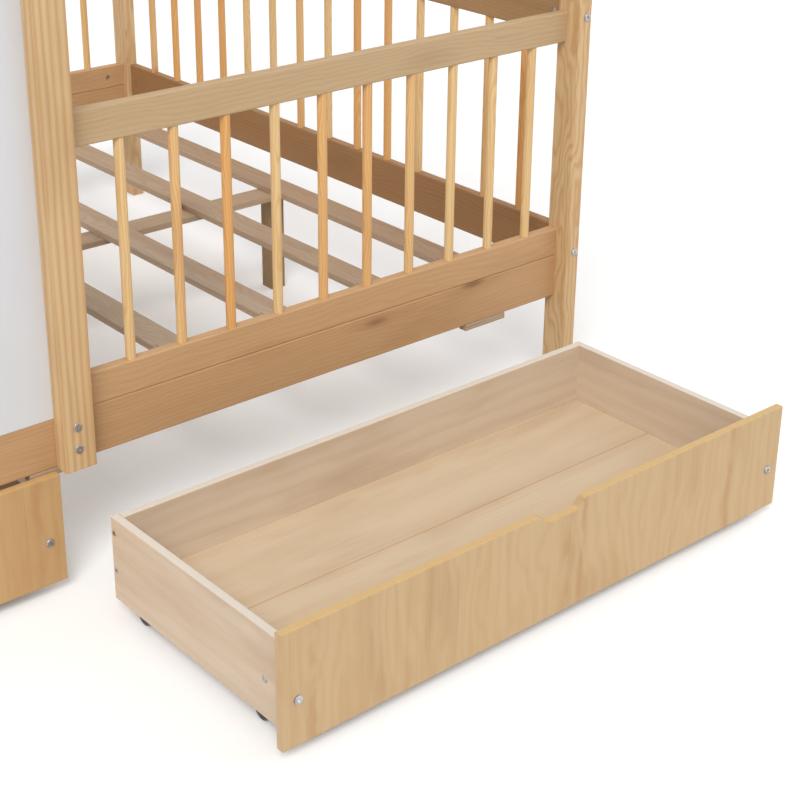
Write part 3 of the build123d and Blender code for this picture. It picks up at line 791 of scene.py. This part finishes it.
BOX_PINE = Timber("box_pine", srgb(208, 190, 168), srgb(197, 172, 144), srgb(164, 132, 102),
                  rings=12.0, ring_strength=0.35, knots=0.35, stain=0.35, offset=9.3,
                  # Painted highlight: the grey-white on the box walls' upward faces stands for
                  # light from above.
                  painted_top_light=srgb(222, 216, 206))
FLOOR_PINE = Timber("floor_pine", srgb(208, 188, 160), srgb(198, 171, 137), srgb(164, 128, 94),
                    rings=9.0, ring_strength=0.35, knots=0.5, stain=0.3, offset=11.7,
                    seams=(-1.0,))
ROOF_PINE = Timber("roof_pine", srgb(205, 173, 128), srgb(188, 146, 98), srgb(146, 102, 62),
                   rings=46.0, ring_strength=0.55, offset=12.8)
ZINC = Steel("zinc_plate", srgb(196, 196, 198), 0.28)
DULL_STEEL = Steel("dull_steel", srgb(120, 119, 118), 0.4)
WHEEL_PLASTIC = Moulded("wheel_plastic", srgb(92, 92, 95), srgb(72, 72, 76), 0.45, 900.0)
BOARD_LAMINATE = Moulded("board_laminate", srgb(214, 215, 217), srgb(207, 208, 211),
                         0.3, 260.0, 0.2)


def spindle_pine(name: str, axis: int, pitch: float, start: float, offset: float) -> Timber:
    """Makes the finish of one fence's spindles, each with its own tone.

    Args:
        name: The finish's name.
        axis: The axis that the row runs along, 0 for X and 1 for Y.
        pitch: The distance between spindles, in metres.
        start: Half a pitch before the first spindle, in metres.
        offset: Moves the grain, so that no two fences are alike.

    Returns:
        The finish.
    """
    return Timber(name, srgb(222, 192, 142), srgb(208, 160, 100), srgb(170, 108, 54),
                  rings=80.0, ring_strength=0.65, knots=0.6, stain=0.35, offset=offset,
                  board_pitch=pitch, board_axis=axis, board_start=start,
                  odd_board=srgb(250, 214, 168))


def dress(node: str, material: bpy.types.Material) -> None:
    """Gives a CAD node's mesh a material in all its slots.

    Args:
        node: The node's name.
        material: Its new material.
    """
    mesh = frame["nodes"][node].data
    if not mesh.materials:
        mesh.materials.append(material)
    for index in range(len(mesh.materials)):
        mesh.materials[index] = material
    LOG.info("%s wears %s", node, material.name)


def piece_from(mesh: bmesh.types.BMesh, name: str, material: bpy.types.Material,
               body: str) -> bpy.types.Object:
    """Turns a bmesh into a piece that rides on a body.

    Args:
        mesh: The finished mesh, in the bed's own frame.
        name: The piece's name.
        material: Its material.
        body: The body that it moves with.

    Returns:
        The new object, at the origin.
    """
    bmesh.ops.recalc_face_normals(mesh, faces=mesh.faces)
    data = bpy.data.meshes.new(name)
    mesh.to_mesh(data)
    mesh.free()
    data.materials.append(material)
    made = bpy.data.objects.new(name, data)
    bpy.context.scene.collection.objects.link(made)
    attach(made, body)
    LOG.info("%s rides on %s", name, body)
    return made


@dataclass
class BedBase:
    """Posts, rails, fences, slats and the strip and legs under them.

    Attributes:
        front_pitch: The distance between the front spindles.
        front_start: Half a pitch before the first front spindle.
        back_pitch: The distance between the back spindles.
        back_end: Where the back row starts, at the corner post.
        end_pitch: The distance between the end spindles.
        end_end: Where the end rows start, at the front corner post.
        slat_places: The slats' middles on one side of the bed's middle.
        staple_inset: How far the staples lie from the slats' middles.
        staple_long: A staple's length.
        staple_thick: The thickness of its wire.
        staple_rows: The places of the staples along Y.
    """

    front_pitch: float = 87.0 * MM
    front_start: float = 88.0 * MM
    back_pitch: float = 1970.0 / 22 * MM
    back_end: float = -985.0 * MM
    end_pitch: float = 1368.0 / 15 * MM
    end_end: float = -690.0 * MM
    slat_places: tuple[float, ...] = (0.105, 0.3093, 0.5137, 0.718, 0.904)
    staple_inset: float = 22.0 * MM
    staple_long: float = 11.0 * MM
    staple_thick: float = 1.2 * MM
    staple_rows: tuple[float, ...] = (-0.522, 0.522)

    def build(self) -> None:
        """Dresses the timbers and adds the staples on the slats."""
        for side in ("right", "left"):
            for row in ("front", "back"):
                dress(f"corner_post_{row}_{side}", POST_PINE.material(Grain.UPRIGHT))
            dress(f"mid_post_{side}", POST_PINE.material(Grain.UPRIGHT))
            dress(f"end_board_{side}", END_PINE.material(Grain.ACROSS_BED))
            dress(f"end_top_rail_{side}", END_TOP_PINE.material(Grain.ACROSS_BED))
        for row in ("front", "back"):
            dress(f"side_rail_{row}", RAIL_PINE.material(Grain.ALONG_BED))
            dress(f"fence_bottom_rail_{row}", SEAM_RAIL_PINE.material(Grain.ALONG_BED))
            dress(f"fence_top_rail_{row}", TOP_RAIL_PINE.material(Grain.ALONG_BED))
        self.dress_spindles()
        dress("slats", SLAT_PINE.material(Grain.ACROSS_BED))
        dress("slat_ledgers", BEAM_PINE.material(Grain.ALONG_BED))
        dress("centre_beam", BEAM_PINE.material(Grain.ALONG_BED))
        dress("drawer_stops", BEAM_PINE.material(Grain.ALONG_BED))
        dress("centre_legs", LEG_PINE.material(Grain.UPRIGHT))
        dress("frame_dowels", LEG_PINE.material(Grain.UPRIGHT))
        zinc = ZINC.material()
        for node in ("frame_bolts", "frame_barrel_nuts", "frame_screws"):
            dress(node, zinc)
        self.staples()

    def dress_spindles(self) -> None:
        """Dresses the four fences' spindles, each row with its own tones."""
        rows = {
            "spindles_front": (0, self.front_pitch, self.front_start, 0.2),
            "spindles_back": (0, self.back_pitch, self.back_end + self.back_pitch / 2, 1.3),
            "spindles_right": (1, self.end_pitch, self.end_end + self.end_pitch / 2, 2.6),
            "spindles_left": (1, self.end_pitch, self.end_end + self.end_pitch / 2, 3.8),
        }
        for node, (axis, pitch, start, offset) in rows.items():
            finish = spindle_pine(f"{node}_pine", axis, pitch, start, offset)
            dress(node, finish.material(Grain.UPRIGHT))

    def staples(self) -> None:
        """Adds the small steel staples near the ends of the slats."""
        mesh = bmesh.new()
        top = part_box("slats")[1].z
        size = Matrix.Diagonal((self.staple_thick, self.staple_long, self.staple_thick, 1.0))
        for x in [side * x for side in (-1, 1) for x in self.slat_places]:
            for y in self.staple_rows:
                place = Matrix.Translation((x - self.staple_inset, y, top))
                made = bmesh.ops.create_cube(mesh, size=1.0, matrix=place @ size)
                edges = {edge for vert in made["verts"] for edge in vert.link_edges}
                bmesh.ops.bevel(mesh, geom=list(edges), offset=self.staple_thick * 0.25,
                                segments=2, profile=0.5, affect="EDGES", material=-1)
        piece_from(mesh, "slat_staples", DULL_STEEL.material(), "bed_frame")


@dataclass
class HouseTop:
    """The gable roof frame over the bed.

    Attributes:
        run: How far a rafter reaches along Y, in millimetres.
        rise: How far it rises, in millimetres.
    """

    run: float = 733.0
    rise: float = 570.0

    def build(self) -> None:
        """Dresses the roof timbers, with the grain along each one."""
        slope = math.atan2(self.rise, self.run)
        for side in ("right", "left"):
            dress(f"rafter_front_{side}", ROOF_PINE.material(Grain.FRONT_RAFTER, slope))
            dress(f"rafter_back_{side}", ROOF_PINE.material(Grain.BACK_RAFTER, slope))
        dress("ridge_beam", ROOF_PINE.material(Grain.ALONG_BED))
        dress("eaves_beams", ROOF_PINE.material(Grain.ALONG_BED))
        dress("gable_ties", ROOF_PINE.material(Grain.ACROSS_BED))


@dataclass
class WritingPanel:
    """The white writing board and the rail on its top edge."""

    def build(self) -> None:
        """Dresses the board with laminate and its rail with pine."""
        dress("writing_board", BOARD_LAMINATE.material())
        dress("writing_board_top_rail", TOP_RAIL_PINE.material(Grain.ALONG_BED))


@dataclass
class CasterWheel:
    """One turned wheel with a tyre, a dished web and a hub.

    Attributes:
        radius: The wheel's radius.
        half_width: Half its width.
        hub_radius: The hub's radius.
        bore: The radius of the hole for the axle.
        steps: How many parts the turn has.
    """

    radius: float = 15.0 * MM
    half_width: float = 6.0 * MM
    hub_radius: float = 5.0 * MM
    bore: float = 2.08 * MM
    steps: int = 40

    def build(self, node: str, material: bpy.types.Material) -> None:
        """Turns the wheel's profile round its axle and puts it in the node's place.

        Args:
            node: The CAD node that the wheel stands for.
            material: The wheel's material.
        """
        low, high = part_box(node)
        middle = (low + high) / 2
        mesh = bmesh.new()
        outline = [mesh.verts.new((x, 0.0, r)) for x, r in self.profile()]
        edges = [mesh.edges.new((a, b)) for a, b in zip(outline, outline[1:] + outline[:1])]
        bmesh.ops.spin(mesh, geom=outline + edges, cent=(0, 0, 0), axis=(1, 0, 0),
                       angle=2 * math.pi, steps=self.steps, use_merge=True)
        bmesh.ops.remove_doubles(mesh, verts=mesh.verts, dist=1e-6)
        bmesh.ops.translate(mesh, vec=middle, verts=mesh.verts)
        for face in mesh.faces:
            face.smooth = True
        wheel = piece_from(mesh, f"{node}_turned", material, f"{node}_body")
        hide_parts(node)

    def profile(self) -> list[tuple[float, float]]:
        """Draws the wheel's section on one side of its axle.

        Returns:
            Points of the place along the axle and the radius.
        """
        w, r, hub = self.half_width, self.radius, self.hub_radius
        side = [(w, self.bore), (w, hub * 0.8), (w * 0.93, hub), (w * 0.5, hub * 1.12),
                (w * 0.5, r * 0.7), (w * 0.9, r * 0.78), (w, r * 0.84), (w, r * 0.93),
                (w * 0.93, r * 0.98), (w * 0.8, r)]
        tread = [(w * 0.3, r), (w * 0.22, r * 0.965), (-w * 0.22, r * 0.965), (-w * 0.3, r)]
        return side + tread + [(-x, y) for x, y in reversed(side)]


@dataclass
class Drawer:
    """A rolling drawer: front, box, floor, battens, casters and fasteners.

    Attributes:
        name: The drawer's body, with which the names of its nodes start.
        front: The finish of its front.
        wheel: The wheel of its casters.
    """

    name: str
    front: Timber
    wheel: CasterWheel = field(default_factory=CasterWheel)

    def build(self) -> None:
        """Dresses the drawer's nodes and turns its wheels."""
        dress(f"{self.name}_front", self.front.material(Grain.UPRIGHT))
        dress(f"{self.name}_sides", BOX_PINE.material(Grain.ACROSS_BED))
        dress(f"{self.name}_back", BOX_PINE.material(Grain.ALONG_BED))
        dress(f"{self.name}_floor", FLOOR_PINE.material(Grain.ALONG_BED))
        dress(f"{self.name}_caster_battens", BEAM_PINE.material(Grain.ACROSS_BED))
        dress(f"{self.name}_caster_forks", DULL_STEEL.material())
        dress(f"{self.name}_fasteners", ZINC.material())
        plastic = WHEEL_PLASTIC.material()
        for row in ("front", "back"):
            for side in ("left", "right"):
                self.wheel.build(f"{self.name}_wheel_{row}_{side}", plastic)


@dataclass
class ViewCamera:
    """The camera at the photograph's viewing angle.

    Attributes:
        azimuth: How far it is turned about Z, in degrees.
        elevation: How far it looks down, in degrees.
        roll: How far it is rolled, in degrees.
        focal_pixels: The lens, in pixels of the picture.
        centre_y: The height of the lens's axis in the picture, in pixels.
        place: Where it stands, in metres.
        frame_pixels: The picture's width.
        sensor: The sensor's width in millimetres.
    """

    azimuth: float = -40.85
    elevation: float = 23.014
    roll: float = 0.667
    focal_pixels: float = 1654.6
    centre_y: float = 304.0
    place: tuple[float, float, float] = (-0.97633, -2.56709, 1.31406)
    frame_pixels: float = 800.0
    sensor: float = 36.0

    def build(self) -> None:
        """Makes the camera and sets it as the scene's camera."""
        data = bpy.data.cameras.new("view_camera")
        data.sensor_width = self.sensor
        data.lens = self.focal_pixels / self.frame_pixels * self.sensor
        data.shift_y = (self.centre_y - self.frame_pixels / 2) / self.frame_pixels
        data.clip_start, data.clip_end = 0.05, 200.0
        camera = bpy.data.objects.new("view_camera", data)
        bpy.context.scene.collection.objects.link(camera)
        camera.matrix_world = Matrix.Translation(self.place) @ self.turn().to_4x4()
        bpy.context.scene.camera = camera
        LOG.info("camera at %s", self.place)

    def turn(self) -> Matrix:
        """Works out the camera's turn from its azimuth, elevation and roll.

        Returns:
            The turn, with the camera looking along its own -Z.
        """
        a, e, r = (math.radians(v) for v in (self.azimuth, self.elevation, self.roll))
        ahead = Vector((-math.sin(a) * math.cos(e), math.cos(a) * math.cos(e), -math.sin(e)))
        level = Vector((math.cos(a), math.sin(a), 0.0))
        upward = level.cross(ahead)
        right = level * math.cos(r) + upward * math.sin(r)
        up = upward * math.cos(r) - level * math.sin(r)
        return Matrix((right, up, -ahead)).transposed()


@dataclass(frozen=True)
class SoftLight:
    """A soft distant light.

    Attributes:
        name: The light's name.
        strength: Its strength on a face square to it.
        source: The direction that it comes from.
        spread: Its width in degrees, which softens its shadows.
    """

    name: str
    strength: float
    source: tuple[float, float, float]
    spread: float

    def build(self) -> None:
        """Makes the light."""
        data = bpy.data.lights.new(self.name, "SUN")
        data.energy = self.strength
        data.angle = math.radians(self.spread)
        light = bpy.data.objects.new(self.name, data)
        light.rotation_mode = "QUATERNION"
        light.rotation_quaternion = Vector(self.source).to_track_quat("Z", "Y")
        bpy.context.scene.collection.objects.link(light)


@dataclass
class Studio:
    """A plain pale floor, a white world and soft lights.

    Attributes:
        floor_radius: The floor's radius.
        floor_drop: How far it lies under the bed's feet, so that no faces meet.
        floor_tone: Its grey.
        floor_glow: The light that lifts it to white where no shadow falls.
        ambient: The world's strength as a light.
        lights: The lights.
    """

    floor_radius: float = 40.0
    floor_drop: float = 0.3 * MM
    floor_tone: float = 0.88
    floor_glow: float = 0.14
    ambient: float = 0.55
    lights: tuple[SoftLight, ...] = (
        SoftLight("key_light", 2.1, (-0.66, -0.66, 0.92), 28.0),
        SoftLight("fill_light", 0.5, (0.8, -0.35, 0.6), 60.0),
    )

    def build(self) -> None:
        """Builds the floor, the world and the lights."""
        self.floor()
        self.world()
        for light in self.lights:
            light.build()
        bpy.context.scene.view_settings.view_transform = "Standard"

    def floor(self) -> None:
        """Lays the floor, which keeps the bed's shadow."""
        mesh = bmesh.new()
        bmesh.ops.create_circle(mesh, cap_ends=True, radius=self.floor_radius, segments=96)
        data = bpy.data.meshes.new("studio_floor")
        mesh.to_mesh(data)
        mesh.free()
        floor = bpy.data.objects.new("studio_floor", data)
        floor.location.z = -self.floor_drop
        bpy.context.scene.collection.objects.link(floor)
        made, graph, shader = start_material("studio_floor")
        graph.feed(shader, {"Base Color": (*(self.floor_tone,) * 3, 1.0), "Roughness": 0.9,
                            "Specular IOR Level": 0.0})
        glow = graph.add("ShaderNodeEmission")
        graph.feed(glow, {"Strength": graph.product(camera_share(graph), self.floor_glow)})
        both = graph.add("ShaderNodeAddShader")
        graph.feed(both, {0: shader.outputs[0], 1: glow.outputs[0]})
        graph.feed(made.node_tree.nodes["Material Output"], {"Surface": both.outputs[0]})
        data.materials.append(made)

    def world(self) -> None:
        """Makes the world white in the picture and weaker as a light."""
        world = bpy.data.worlds.new("studio_world")
        bpy.context.scene.world = world
        world.use_nodes = True
        graph = Graph(world.node_tree)
        rest = graph.product(camera_share(graph), 1.0 - self.ambient)
        graph.feed(world.node_tree.nodes["Background"],
                   {"Color": (1.0, 1.0, 1.0, 1.0),
                    "Strength": graph.math("ADD", self.ambient, rest)})


def clear_startup() -> None:
    """Removes the objects that a new Blender file starts with."""
    kept = set(frame["nodes"].values()) | set(frame["bodies"].values())
    for thing in list(bpy.data.objects):
        if thing not in kept:
            bpy.data.objects.remove(thing)


def main() -> None:
    """Builds the bed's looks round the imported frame, in order."""
    logging.basicConfig(level=logging.INFO, format="%(name)s: %(message)s")
    clear_startup()
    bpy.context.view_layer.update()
    ViewCamera().build()
    Studio().build()
    BedBase().build()
    HouseTop().build()
    WritingPanel().build()
    Drawer("drawer_right", RIGHT_FRONT_PINE).build()
    Drawer("drawer_left", LEFT_FRONT_PINE).build()


if __name__ == "__main__":
    main()
